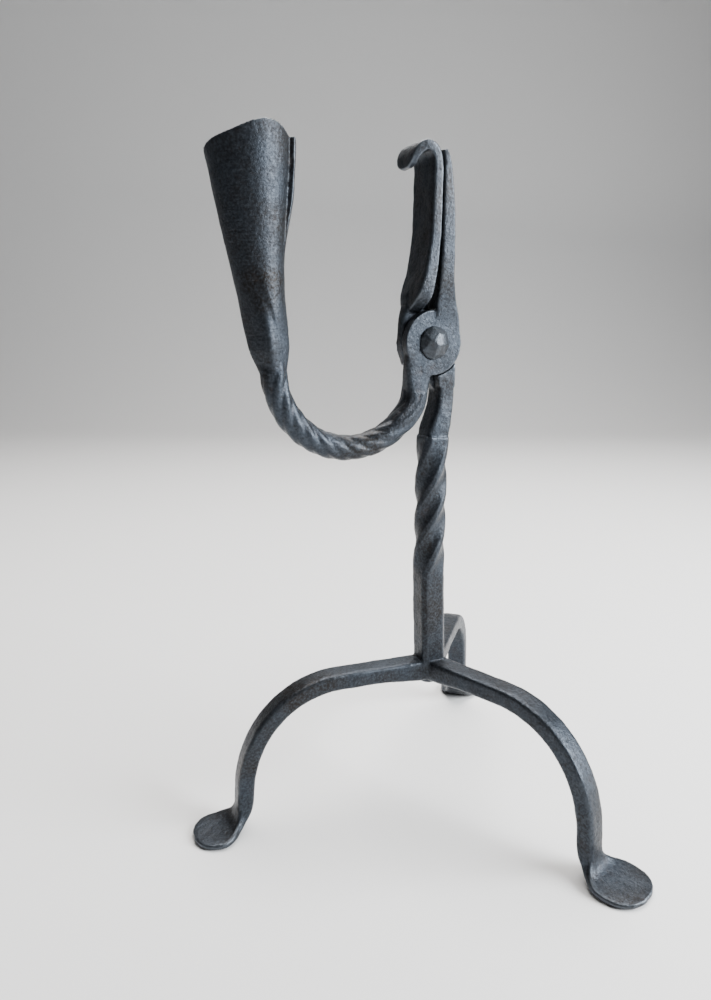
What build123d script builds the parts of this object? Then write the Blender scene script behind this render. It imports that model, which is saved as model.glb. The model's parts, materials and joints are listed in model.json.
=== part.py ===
from build123d import *
import os
from math import asin, cos, degrees, radians, sin

# A hand-forged iron rush holder with a candle socket, on three arched legs.
# Millimetres. While the pieces are made, the stem stands on X = Y = 0 and the
# feet on Z = 0. -Y is the front, and the candle socket is on the -X side.

# tripod
# each leg is bent by hand: its azimuth in degrees, and the distance from the
# stem's axis to the middle of its upright part
leg_azimuths = {"left_leg": 174, "right_leg": -71, "back_leg": 47}
leg_spreads = {"left_leg": 73.4, "right_leg": 70.4, "back_leg": 72.0}
hub_height = 55.5           # top of the legs, where the stem stands on them
hub_thickness = 8.5         # the legs are left thicker where they are welded
strap_width = 9.0
strap_thickness = 6.6
strap_corner = 1.2          # hammered corner of a leg
arch_run = 40.5             # how far a leg's bend reaches, seen from the side
ankle_height = 9.5          # where a leg starts to flare into its pad
ankle_flare = 6.0           # how far the flare reaches outwards
pad_reach = 10.0            # from the upright's middle to the pad's middle
pad_length = 21.0           # along the leg
pad_width = 22.0
pad_thickness = 3.0
pad_taper = 35              # degrees, slope of the pad's thin rim
tenon_diameter = 5.0        # stem's tenon through the hub
tenon_fit = 0.05            # radial room round the tenon
tenon_head_diameter = 9.0
tenon_head_height = 1.8

# stem
stem_width = 9.8            # square bar, across the flats
stem_corner = 1.5
twist_width = 8.8           # the bar is a little thinner where it is twisted
twist_corner = 1.3
twist_length = 46.0
twist_turn = 270            # degrees, right-handed
twist_step = 22.5           # degrees between two sections of the twist
twist_run_in = 3.0          # height over which the bar thins into the twist
pinch_width = 7.4           # nick that closes the twist at its top
pinch_rise = 1.5            # from the twist's top to the nick
neck_width = 6.6            # along X
neck_depth = 7.0            # along Y
neck_corner = 1.2
neck_swell = 1.0            # the neck is this much wider just above the nick
swell_rise = 4.5            # from the twist's top
neck_rise = 12.0            # from the twist's top to the straight part of the neck
neck_length = 9.0
neck_drop = 15.0            # from the pivot down to the neck's top
neck_join = 3.0             # the neck's plate ends this far below the pivot
stem_lean = -1.2            # the twisted part stands this far along X
stem_neck_x = 2.5           # the neck then steps back towards +X
pinch_step = 0.1            # share of that step made by the nick
swell_step = 0.35           # and by the swelling above it

# hinge
pivot_x = -3.5
pivot_z = 174.0
cheek_radius = 11.1
cheek_thickness = 3.6
cheek_gap = 0.2             # between the two cheeks
cheek_clearance = 0.6       # round a cheek, to whatever sweeps past it
rivet_diameter = 5.5
rivet_fit = 0.05            # radial, running fit in the arm's cheek
rivet_head_diameter = 10.6
rivet_head_height = 3.2
rivet_tail_diameter = 9.4
rivet_tail_height = 2.0
rivet_play = 0.1            # under the front head

# jaws
jaw_width = 14.0            # along Y
jaw_face_x = -3.35          # gripping face of the fixed jaw
jaw_gap = 0.3               # between the closed jaws
jaw_height = 64.0           # from the pivot to the top of the fixed jaw's curl
jaw_grip_rise = 32.0        # the jaws part below this height above the pivot
jaw_slot_rise = 15.0        # bottom of the slot, above the pivot
jaw_slot_x = -6.3           # fixed jaw's inner face at the bottom of the slot
jaw_bow = 1.6               # how far the fixed jaw's back bows out
jaw_bow_rise = 9.0          # above the bottom of the slot
jaw_straight = 22.0         # the fixed jaw's back is straight this far below its top
fixed_root_rise = 4.0       # where the fixed jaw's back leaves its cheek
fixed_root_inset = 0.4
fixed_jaw_thickness = 3.75
fixed_jaw_root_x = -11.9    # outer face of the fixed jaw above its cheek
moving_jaw_root = 7.4       # thickness of the moving jaw above its cheek
moving_jaw_middle = 4.2
moving_jaw_tip = 1.9
moving_jaw_drop = 3.0       # below the top of the curl
moving_root_rise = 3.5      # where the moving jaw's back leaves its cheek
moving_root_inset = 0.6
tip_bevel = 1.5             # the moving jaw's tip is bevelled down to its back
tip_land = 0.6
tip_flat = 0.4
shoulder_height = 5.0       # over which a jaw narrows to its cheek
shoulder_drop = 2.0         # a shoulder starts this far below the slot
curl_radius = 5.8           # outside
curl_inner_radius = 2.8
curl_inner_shift = 0.4
tongue_thickness = 2.2      # hanging end of the curl
tongue_length = 2.2

# arm
arm_neck_x = -8.9
arm_neck_width = 7.8
arm_bar_width = 7.8         # square bar of the swan neck
arm_bar_corner = 1.6
arm_neck_drop = 15.0        # from the pivot down to the neck's lower end
neck_inner_x = 1.0          # the neck's inner edge meets the cheek here
neck_inner_inset = 0.6
neck_outer_rise = 2.0       # and its outer edge here
neck_outer_inset = 0.3
# the bar drops straight from the neck, then bends round in three arcs
arm_drop = 2.0
arm_bends = [(9.6, 34), (29.0, 27)]        # radius and degrees
arm_last_radius = 27.3      # turns the bar up to the socket's lean

# candle socket
socket_lean = 3.8           # degrees towards -X
socket_tilt = 6.0           # degrees towards +Y
socket_wall = 1.4
socket_height = 70.0        # along its own axis, to the middle of the mouth
socket_mouth_radius = 13.2
socket_floor = 13.0         # solid below this, along the axis
socket_spare = 0.12         # share that the cone is made too tall by, then cut off
socket_heel = 1.0           # cone made this much longer, then cut to the bar's end
mouth_lean = 8.0            # degrees, the mouth isn't cut square
mouth_tilt = 17.0
# outer radius of the cone at a share of its height
socket_flare = [(0.0, 5.3), (0.17, 6.2), (0.34, 7.3), (0.56, 9.2), (0.78, 11.2)]

cheek_inner = cheek_gap / 2
cheek_outer = cheek_inner + cheek_thickness
half_jaw = jaw_width / 2
cut_reach = 300.0           # farther than any cut needs
cut_margin = 1.0            # past a face that is cut through

neck_top = pivot_z - neck_drop
neck_bottom = neck_top - neck_length
twist_top = neck_bottom - neck_rise
twist_bottom = twist_top - twist_length
stand_height = pivot_z + jaw_height
jaw_grip_bottom = pivot_z + jaw_grip_rise
jaw_slot_bottom = pivot_z + jaw_slot_rise
moving_jaw_top = stand_height - moving_jaw_drop
shoulder_bottom = jaw_slot_bottom - shoulder_drop
cheek_bottom = pivot_z - cheek_radius - cheek_clearance
arm_neck_bottom = pivot_z - arm_neck_drop


def bar_plane(x, z, turn=0.0):
    """Level plane for a section of a standing bar, turned about the vertical."""
    turned = radians(turn)
    return Plane(origin=(x, 0, z), x_dir=(cos(turned), sin(turned), 0), z_dir=(0, 0, 1))


def between(low, high, share):
    return low + (high - low) * share


# legs
hub_bottom = hub_height - hub_thickness
azimuth_order = sorted(leg_azimuths.values())


def mitre_azimuths(azimuth):
    """The two directions half way to the neighbouring legs."""
    place = azimuth_order.index(azimuth)
    before = azimuth_order[place - 1]
    after = azimuth_order[(place + 1) % len(azimuth_order)]
    gap_before = (azimuth - before) % 360
    gap_after = (after - azimuth) % 360
    return azimuth - gap_before / 2, azimuth + gap_after / 2


legs = {}
for leg_name, azimuth in leg_azimuths.items():
    leg_spread = leg_spreads[leg_name]
    outer_reach = leg_spread + strap_thickness / 2
    inner_reach = leg_spread - strap_thickness / 2
    level_run = outer_reach - arch_run
    outwards = Vector(1, 0, 0).rotate(Axis.Z, azimuth)
    side_plane = Plane(origin=(0, 0, 0), x_dir=outwards, z_dir=outwards.cross(Vector(0, 0, 1)))
    with BuildPart() as leg:
        # side view of the arch, swept straight across the strap's width
        with BuildSketch(side_plane):
            with BuildLine():
                Line((0, hub_height), (level_run, hub_height))
                EllipticalCenterArc(
                    (level_run, ankle_height),
                    outer_reach - level_run,
                    hub_height - ankle_height,
                    start_angle=0,
                    arc_size=90,
                )
                EllipticalCenterArc(
                    (outer_reach + ankle_flare, ankle_height),
                    ankle_flare,
                    ankle_height - pad_thickness,
                    start_angle=180,
                    arc_size=90,
                )
                Polyline(
                    (outer_reach + ankle_flare, pad_thickness),
                    (outer_reach + ankle_flare, 0),
                    (inner_reach, 0),
                    (inner_reach, ankle_height),
                )
                EllipticalCenterArc(
                    (level_run, ankle_height),
                    inner_reach - level_run,
                    hub_height - strap_thickness - ankle_height,
                    start_angle=0,
                    arc_size=90,
                )
                Polyline(
                    (level_run, hub_height - strap_thickness),
                    (tenon_head_diameter, hub_bottom),
                    (0, hub_bottom),
                    (0, hub_height),
                )
            make_face()
        extrude(amount=strap_width / 2, both=True)
        corners = leg.edges().filter_by(GeomType.ELLIPSE)
        chamfer(corners, strap_corner)
        # round foot pad, thin at its rim
        with BuildSketch(bar_plane(0, 0, azimuth)):
            with Locations((leg_spread + pad_reach, 0)):
                Ellipse(pad_length / 2, pad_width / 2)
        extrude(amount=pad_thickness, taper=pad_taper)
        # the three legs meet in mitres on the stem's axis
        before, after = mitre_azimuths(azimuth)
        with BuildSketch(Plane.XY.offset(-cut_margin)):
            with BuildLine():
                Polyline(
                    (0, 0),
                    (cut_reach * cos(radians(before)), cut_reach * sin(radians(before))),
                    (cut_reach * cos(radians(azimuth)), cut_reach * sin(radians(azimuth))),
                    (cut_reach * cos(radians(after)), cut_reach * sin(radians(after))),
                    close=True,
                )
            make_face()
        extrude(amount=hub_height + 2 * cut_margin, mode=Mode.INTERSECT)
        with BuildSketch(Plane.XY.offset(hub_bottom - cut_margin)):
            Circle(tenon_diameter / 2 + tenon_fit)
        extrude(amount=hub_thickness + 2 * cut_margin, mode=Mode.SUBTRACT)
    leg.part.label = leg_name
    legs[leg_name] = leg

# stem with the fixed jaw
twist_count = round(twist_turn / twist_step)
stem_sections = [
    (0, hub_height, stem_width, stem_width, stem_corner, 0),
    (stem_lean, twist_bottom - twist_run_in, stem_width, stem_width, stem_corner, 0),
]
for step in range(twist_count + 1):
    height = between(twist_bottom, twist_top, step / twist_count)
    turn = step * twist_step
    stem_sections.append((stem_lean, height, twist_width, twist_width, twist_corner, turn))
stem_sections += [
    (
        between(stem_lean, stem_neck_x, pinch_step),
        twist_top + pinch_rise,
        pinch_width,
        pinch_width,
        neck_corner,
        twist_turn,
    ),
    (
        between(stem_lean, stem_neck_x, swell_step),
        twist_top + swell_rise,
        neck_depth,
        neck_width + neck_swell,
        neck_corner,
        twist_turn,
    ),
    (stem_neck_x, neck_bottom, neck_depth, neck_width, neck_corner, twist_turn),
    (stem_neck_x, neck_top, neck_depth, neck_width, neck_corner, twist_turn),
]
curl_center = (jaw_face_x - curl_radius, stand_height - curl_radius)
jaw_back_x = jaw_face_x - fixed_jaw_thickness
tongue_x = jaw_face_x - 2 * curl_radius

with BuildPart() as fixed_half:
    # front view of the neck's top, the cheek and the fixed jaw
    with BuildSketch(Plane.XZ):
        with Locations((pivot_x, pivot_z)):
            Circle(cheek_radius)
        with BuildLine():
            Polyline(
                (stem_neck_x - neck_width / 2, neck_top),
                (stem_neck_x + neck_width / 2, neck_top),
                (stem_neck_x + neck_width / 2, pivot_z - neck_join),
                (stem_neck_x - neck_width / 2, pivot_z - neck_join),
                (stem_neck_x - neck_width / 2, neck_top),
            )
        make_face()
        with BuildLine():
            Spline(
                (pivot_x - cheek_radius + fixed_root_inset, pivot_z + fixed_root_rise),
                (fixed_jaw_root_x, jaw_slot_bottom),
                (jaw_back_x - jaw_bow, jaw_slot_bottom + jaw_bow_rise),
                (jaw_back_x, stand_height - jaw_straight),
                tangents=[(0, 1), (0, 1)],
            )
            Polyline(
                (jaw_back_x, stand_height - jaw_straight),
                (jaw_back_x, curl_center[1]),
                (jaw_face_x, curl_center[1]),
                (jaw_face_x, jaw_grip_bottom),
                (jaw_slot_x, jaw_slot_bottom),
                (jaw_slot_x, pivot_z + fixed_root_rise),
                (pivot_x - cheek_radius + fixed_root_inset, pivot_z + fixed_root_rise),
            )
        make_face()
    extrude(amount=half_jaw, both=True)
    # side view: a wide jaw, a shoulder, a thin cheek and a square neck
    with BuildSketch(Plane.YZ):
        with BuildLine():
            Polyline(
                (-neck_depth / 2, neck_top),
                (neck_depth / 2, neck_top),
                (neck_depth / 2, cheek_bottom),
                (cheek_outer, pivot_z - cheek_radius / 2),
                (cheek_outer, shoulder_bottom),
            )
            EllipticalCenterArc(
                (cheek_outer, shoulder_bottom + shoulder_height),
                half_jaw - cheek_outer,
                shoulder_height,
                start_angle=270,
                arc_size=90,
            )
            Polyline(
                (half_jaw, shoulder_bottom + shoulder_height),
                (half_jaw, stand_height),
                (-half_jaw, stand_height),
                (-half_jaw, jaw_slot_bottom + shoulder_height),
            )
            EllipticalCenterArc(
                (cheek_inner, jaw_slot_bottom + shoulder_height),
                half_jaw + cheek_inner,
                shoulder_height,
                start_angle=180,
                arc_size=90,
            )
            Polyline(
                (cheek_inner, jaw_slot_bottom),
                (cheek_inner, cheek_bottom),
                (-neck_depth / 2, cheek_bottom),
                (-neck_depth / 2, neck_top),
            )
        make_face()
    extrude(amount=cut_reach, both=True, mode=Mode.INTERSECT)
    # the jaw's top curls over to the left
    with BuildSketch(Plane.XZ):
        with BuildLine():
            CenterArc(curl_center, curl_radius, 0, 180)
            Line((tongue_x, curl_center[1]), (tongue_x + tongue_thickness, curl_center[1]))
            ThreePointArc(
                (tongue_x + tongue_thickness, curl_center[1]),
                (curl_center[0] - curl_inner_shift, curl_center[1] + curl_inner_radius),
                (jaw_back_x, curl_center[1]),
            )
            Line((jaw_back_x, curl_center[1]), (jaw_face_x, curl_center[1]))
        make_face()
    extrude(amount=half_jaw, both=True)
    # and ends in a rounded tongue
    with BuildSketch(Plane.YZ.offset(tongue_x)):
        with BuildLine():
            Line((-half_jaw, curl_center[1]), (half_jaw, curl_center[1]))
            Spline(
                (half_jaw, curl_center[1]),
                (0, curl_center[1] - tongue_length),
                (-half_jaw, curl_center[1]),
                tangents=[(0, -1), (0, 1)],
            )
        make_face()
    extrude(amount=tongue_thickness)

with BuildPart() as stem:
    for x, height, width_x, width_y, corner, turn in stem_sections:
        with BuildSketch(bar_plane(x, height, turn)):
            Rectangle(width_x, width_y)
            chamfer(vertices(), corner)
    loft(ruled=True)
    add(fixed_half.part)
    # tenon through the hub, with its upset head
    with BuildSketch(Plane.XY.offset(hub_bottom)):
        Circle(tenon_diameter / 2)
    extrude(amount=hub_thickness)
    with BuildSketch(Plane.XY.offset(hub_bottom)):
        Circle(tenon_head_diameter / 2)
    extrude(amount=-tenon_head_height, taper=pad_taper)
    # rivet hole
    with Locations(Plane(origin=(pivot_x, 0, pivot_z), z_dir=(0, -1, 0))):
        Cylinder(rivet_diameter / 2, cut_reach, mode=Mode.SUBTRACT)
stem.part.label = "stem"

# arm with the moving jaw
moving_face_x = jaw_face_x + jaw_gap
with BuildPart() as moving_half:
    with BuildSketch(Plane.XZ):
        with Locations((pivot_x, pivot_z)):
            Circle(cheek_radius)
        # neck, down and to the left of the cheek
        with BuildLine():
            Polyline(
                (arm_neck_x - arm_neck_width / 2, arm_neck_bottom),
                (arm_neck_x + arm_neck_width / 2, arm_neck_bottom),
                (pivot_x + neck_inner_x, pivot_z - cheek_radius + neck_inner_inset),
                (pivot_x, pivot_z),
                (pivot_x - cheek_radius + neck_outer_inset, pivot_z + neck_outer_rise),
                (arm_neck_x - arm_neck_width / 2, arm_neck_bottom),
            )
        make_face()
        # jaw
        with BuildLine():
            Spline(
                (pivot_x + cheek_radius - moving_root_inset, pivot_z + moving_root_rise),
                (moving_face_x + moving_jaw_root, jaw_slot_bottom),
                (moving_face_x + moving_jaw_middle, between(jaw_slot_bottom, moving_jaw_top, 0.5)),
                (moving_face_x + moving_jaw_tip, moving_jaw_top - tip_bevel),
            )
            Polyline(
                (moving_face_x + moving_jaw_tip, moving_jaw_top - tip_bevel),
                (moving_face_x + tip_flat, moving_jaw_top),
                (moving_face_x, moving_jaw_top - tip_land),
                (moving_face_x, pivot_z + moving_root_rise),
                (pivot_x + cheek_radius - moving_root_inset, pivot_z + moving_root_rise),
            )
        make_face()
    extrude(amount=half_jaw, both=True)
    with BuildSketch(Plane.YZ):
        with BuildLine():
            Polyline(
                (-neck_depth / 2, arm_neck_bottom),
                (neck_depth / 2, arm_neck_bottom),
                (neck_depth / 2, cheek_bottom),
                (-cheek_inner, cheek_bottom),
                (-cheek_inner, shoulder_bottom),
            )
            EllipticalCenterArc(
                (-cheek_inner, shoulder_bottom + shoulder_height),
                half_jaw + cheek_inner,
                shoulder_height,
                start_angle=270,
                arc_size=90,
            )
            Polyline(
                (half_jaw, shoulder_bottom + shoulder_height),
                (half_jaw, stand_height),
                (-half_jaw, stand_height),
                (-half_jaw, jaw_slot_bottom + shoulder_height),
                (-cheek_outer, jaw_slot_bottom - shoulder_height),
                (-cheek_outer, cheek_bottom),
                (-neck_depth / 2, arm_neck_bottom),
            )
        make_face()
    extrude(amount=cut_reach, both=True, mode=Mode.INTERSECT)

with BuildLine(Plane.XZ) as arm_line:
    Line((arm_neck_x, arm_neck_bottom), (arm_neck_x, arm_neck_bottom - arm_drop))
    turned = 0
    for radius, bend in arm_bends + [(arm_last_radius, None)]:
        bend = bend or 180 - socket_lean - turned
        heading = (-sin(radians(turned)), -cos(radians(turned)))
        JernArc(arm_line.line @ 1, heading, radius, -bend)
        turned += bend
arm_end = arm_line.wire() @ 1
arm_end_direction = arm_line.wire() % 1

with BuildPart() as arm:
    with BuildSketch(Plane(origin=arm_line.wire() @ 0, x_dir=(0, 1, 0), z_dir=(0, 0, -1))):
        Rectangle(arm_bar_width, arm_bar_width)
        chamfer(vertices(), arm_bar_corner)
    sweep(path=arm_line.wire())
    add(moving_half.part)
    with Locations(Plane(origin=(pivot_x, 0, pivot_z), z_dir=(0, -1, 0))):
        Cylinder(rivet_diameter / 2 + rivet_fit, cut_reach, mode=Mode.SUBTRACT)
arm.part.label = "arm"

# candle socket
socket_base = Vector(arm_end)
socket_axis = Vector(0, 0, 1).rotate(Axis.X, -socket_tilt).rotate(Axis.Y, -socket_lean)
radial = Vector(0, 1, 0).cross(socket_axis).normalized()
side_view = Plane(origin=socket_base, x_dir=radial, z_dir=radial.cross(socket_axis))
last_share, last_radius = socket_flare[-1]
flare_slope = (socket_mouth_radius - last_radius) / (1 - last_share)
cone_top = socket_height * (1 + socket_spare)
cone_top_radius = socket_mouth_radius + flare_slope * socket_spare
outer_points = [(radius, share * socket_height) for share, radius in socket_flare]
outer_points += [(socket_mouth_radius, socket_height), (cone_top_radius, cone_top)]
inner_points = [(r - socket_wall, s) for r, s in outer_points if s > socket_floor]
mouth_center = socket_base + socket_axis * socket_height
mouth_normal = Vector(0, 0, 1).rotate(Axis.X, -mouth_tilt).rotate(Axis.Y, -mouth_lean)

with BuildPart() as candle_socket:
    with BuildSketch(side_view):
        with BuildLine():
            Polyline(
                (0, socket_floor),
                (0, -socket_heel),
                (socket_flare[0][1], -socket_heel),
                *outer_points,
                *reversed(inner_points),
                (socket_flare[0][1] / 2, socket_floor),
                (0, socket_floor),
            )
        make_face()
    revolve(axis=Axis(socket_base, socket_axis))
    split(bisect_by=Plane(origin=mouth_center, z_dir=mouth_normal), keep=Keep.BOTTOM)
    # the cone's foot is welded flat on the end of the arm's bar
    split(bisect_by=Plane(origin=arm_end, z_dir=arm_end_direction), keep=Keep.TOP)
candle_socket.part.label = "candle_socket"

# rivet
def dome(radius, height):
    """Ball radius of a domed head, and the angle from its top to its rim."""
    ball = (radius**2 + height**2) / (2 * height)
    return ball, degrees(asin(radius / ball))


front_head_y = -(cheek_outer + rivet_play)
head_ball, head_angle = dome(rivet_head_diameter / 2, rivet_head_height)
tail_ball, tail_angle = dome(rivet_tail_diameter / 2, rivet_tail_height)
rivet_view = Plane(origin=(pivot_x, 0, pivot_z), x_dir=(1, 0, 0), z_dir=(0, 0, 1))
with BuildPart() as pivot_rivet:
    with BuildSketch(rivet_view):
        with BuildLine():
            CenterArc((0, front_head_y - rivet_head_height + head_ball), head_ball, 270, head_angle)
            Polyline(
                (rivet_head_diameter / 2, front_head_y),
                (rivet_diameter / 2, front_head_y),
                (rivet_diameter / 2, cheek_outer),
                (rivet_tail_diameter / 2, cheek_outer),
            )
            CenterArc(
                (0, cheek_outer + rivet_tail_height - tail_ball),
                tail_ball,
                90 - tail_angle,
                tail_angle,
            )
            Line((0, cheek_outer + rivet_tail_height), (0, front_head_y - rivet_head_height))
        make_face()
    revolve(axis=Axis((pivot_x, 0, pivot_z), (0, 1, 0)))
pivot_rivet.part.label = "pivot_rivet"

# export, with the origin under the middle of the whole object
pieces = [stem, arm, candle_socket, pivot_rivet, *legs.values()]
footprint = Compound([piece.part for piece in pieces]).bounding_box()
to_origin = Location((-footprint.center().X, -footprint.center().Y, -footprint.min.Z))
os.makedirs("parts", exist_ok=True)
for piece in pieces:
    piece.part.locate(to_origin)
    export_step(piece.part, f"parts/{piece.part.label}.step")

shift = to_origin.position
print("size", footprint.size)
print("stem axis", (shift.X, shift.Y), "pivot", (pivot_x + shift.X, shift.Y, pivot_z + shift.Z))
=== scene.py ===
import json
import math

import bmesh
import bpy
from mathutils import Matrix, Vector


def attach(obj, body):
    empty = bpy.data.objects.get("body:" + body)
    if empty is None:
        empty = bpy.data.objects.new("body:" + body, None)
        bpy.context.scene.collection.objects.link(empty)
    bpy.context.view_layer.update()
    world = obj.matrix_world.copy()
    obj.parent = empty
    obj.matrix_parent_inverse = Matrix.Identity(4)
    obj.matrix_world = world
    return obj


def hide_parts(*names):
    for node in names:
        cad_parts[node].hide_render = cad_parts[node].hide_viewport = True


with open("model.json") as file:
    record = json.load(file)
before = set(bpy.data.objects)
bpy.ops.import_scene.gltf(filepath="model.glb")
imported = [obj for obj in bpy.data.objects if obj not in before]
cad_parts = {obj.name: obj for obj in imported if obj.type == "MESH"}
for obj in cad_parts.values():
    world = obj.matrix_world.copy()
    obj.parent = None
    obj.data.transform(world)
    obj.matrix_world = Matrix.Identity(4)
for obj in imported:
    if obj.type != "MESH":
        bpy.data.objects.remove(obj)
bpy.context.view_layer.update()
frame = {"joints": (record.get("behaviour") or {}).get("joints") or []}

# the pieces are laid out in millimetres round the stem's foot: -Y is the front,
# -X the candle's side
mm = 0.001
hinge = Vector(frame["joints"][0]["pos_m"])
pivot = Vector((-3.5, 0, 174))
stemFoot = Vector((hinge.x - pivot.x * mm, hinge.y, 0))
sideways = Vector((0, 1, 0))
scene = bpy.context.scene


def place(point):
    return stemFoot + Vector(point) * mm


def easeStep(low, high, value):
    share = min(1, max(0, (value - low) / (high - low)))
    return share * share * (3 - 2 * share)


def throughRows(rows, steps=6):
    # Catmull-Rom through rows of numbers
    dense = []
    for i in range(len(rows) - 1):
        a, b, c, d = rows[max(i - 1, 0)], rows[i], rows[i + 1], rows[min(i + 2, len(rows) - 1)]
        for k in range(steps):
            t = k / steps
            dense.append([
                0.5 * (2 * q + (r - p) * t + (2 * p - 5 * q + 4 * r - s) * t * t
                       + (3 * q - p - 3 * r + s) * t ** 3)
                for p, q, r, s in zip(a, b, c, d)
            ])
    dense.append(list(rows[-1]))
    return dense


shot = {
    "turn": 26.0,
    "across": -28.54, "back": -268.99, "height": 179.4,
    "pitch": 13.02, "roll": 0.18, "lens": 27, "sensor": 36, "nearest": 0.01,
}
studio = {
    "paper": (0.80, 0.79, 0.78), "paperRough": 0.9,
    "skyColour": (0.93, 0.95, 1.0), "sky": 0.10,
    "front": -1500, "back": 1000, "side": 2600, "bend": 500, "bendSteps": 12, "top": 2400,
    "lampAim": (-20, 0, 110),
    # each lamp's place (across, away, up), size, power and colour
    "lamps": {
        "keyLamp": ((720, -200, 420), 0.6, 23.0, (0.93, 0.97, 1.0)),
        "fillLamp": ((-500, -500, 500), 0.6, 0.08, (1.0, 0.95, 0.9)),
        "topLamp": ((60, 320, 900), 0.9, 20.0, (1.0, 0.98, 0.96)),
    },
}


def seenFrom(across, away, up):
    # from the camera's own directions to the stand's
    turn = math.radians(shot["turn"])
    return Vector((
        across * math.cos(turn) + away * math.sin(turn),
        -across * math.sin(turn) + away * math.cos(turn),
        up,
    ))


def makeCamera():
    pitch, roll = math.radians(shot["pitch"]), math.radians(shot["roll"])
    forward = seenFrom(0, math.cos(pitch), -math.sin(pitch))
    right = seenFrom(1, 0, 0)
    up = right.cross(forward)
    side = right * math.cos(roll) + up * math.sin(roll)
    top = up * math.cos(roll) - right * math.sin(roll)
    data = bpy.data.cameras.new("standCamera")
    data.lens, data.sensor_width, data.clip_start = shot["lens"], shot["sensor"], shot["nearest"]
    camera = bpy.data.objects.new("standCamera", data)
    scene.collection.objects.link(camera)
    turned = Matrix((side, top, -forward)).transposed().to_4x4()
    spot = place(seenFrom(shot["across"], shot["back"], shot["height"]))
    camera.matrix_world = Matrix.Translation(spot) @ turned
    scene.camera = camera


def makeLamp(name, spot, size, power, colour):
    data = bpy.data.lights.new(name, "AREA")
    data.shape, data.size, data.energy, data.color = "DISK", size, power, colour
    lamp = bpy.data.objects.new(name, data)
    scene.collection.objects.link(lamp)
    lamp.location = place(seenFrom(*spot))
    aim = place(studio["lampAim"]) - lamp.location
    lamp.rotation_mode = "QUATERNION"
    lamp.rotation_quaternion = aim.to_track_quat("-Z", "Y")


def makeStudio():
    world = bpy.data.worlds.new("studioSky")
    world.use_nodes = True
    backdrop = world.node_tree.nodes["Background"]
    backdrop.inputs["Color"].default_value = (*studio["skyColour"], 1)
    backdrop.inputs["Strength"].default_value = studio["sky"]
    scene.world = world
    # the floor bends up into a wall, as a roll of paper does
    bend, steps, side = studio["bend"], studio["bendSteps"], studio["side"]
    profile = [(studio["front"], 0)]
    for k in range(steps + 1):
        angle = math.radians(90 * k / steps)
        profile.append((studio["back"] + bend * math.sin(angle), bend * (1 - math.cos(angle))))
    profile.append((studio["back"] + bend, studio["top"]))
    corners = [place(seenFrom(across, away, up)) for away, up in profile for across in (-side, side)]
    strips = [(2 * k, 2 * k + 1, 2 * k + 3, 2 * k + 2) for k in range(len(profile) - 1)]
    paper = bpy.data.meshes.new("studioPaper")
    paper.from_pydata(corners, [], strips)
    paper.shade_smooth()
    floor = bpy.data.objects.new("studioPaper", paper)
    scene.collection.objects.link(floor)
    paint = bpy.data.materials.new("palePaper")
    paint.use_nodes = True
    shader = paint.node_tree.nodes["Principled BSDF"]
    shader.inputs["Base Color"].default_value = (*studio["paper"], 1)
    shader.inputs["Roughness"].default_value = studio["paperRough"]
    paper.materials.append(paint)
    for name, settings in studio["lamps"].items():
        makeLamp(name, *settings)


makeCamera()
makeStudio()
print("camera, floor and lamps are set")


ironLook = {
    "blueIron": (0.021, 0.026, 0.034, 1),
    "brownIron": (0.013, 0.011, 0.010, 1),
    # paler iron for proud edges and rims: partly rubbed wear, partly a painted highlight
    "wornAndHighlightIron": (0.095, 0.108, 0.125, 1),
    "pitIron": (0.012, 0.010, 0.009, 1),
    "rustIron": (0.040, 0.021, 0.012, 1),
    "scaleIron": (0.058, 0.070, 0.086, 1),
    "metallic": 0.78,
    # scale and detail of each pattern
    "patchNoise": (60, 4), "pitNoise": (900, 3), "grainNoise": (2600, 2),
    "rustNoise": (130, 5), "scaleNoise": (1250, 4),
    # over which values each comes in, and its most
    "patches": (0.30, 0.60), "scale": (0.40, 0.68, 0.5), "pits": (0.40, 0.30, 0.55),
    "rust": (0.58, 0.72, 0.35), "hollows": (0.3, -0.5), "wornAndHighlight": (0.7, 2.6, 0.75),
    "roughPits": (0.3, 0.7), "roughLow": 0.34, "roughHigh": 0.52, "rubbed": (0.6, 2.4, 0.08),
    "grainBump": 0.30, "grainDepth": 0.00025,
    "pitFloor": (0.28, 0.5), "pitBump": 0.30, "pitDepth": 0.00018,
}
# the cone has fine marks that run round it
socketFinish = {
    "scratchNoise": (1900, 2), "scratchStretch": (0.06, 0.06, 1.0),
    "scratchBump": 0.4, "scratchDepth": 0.0002, "roughLow": 0.40, "roughHigh": 0.58,
}
rivetFinish = {"roughLow": 0.3, "roughHigh": 0.5, "blueIron": (0.042, 0.048, 0.056, 1)}


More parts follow.
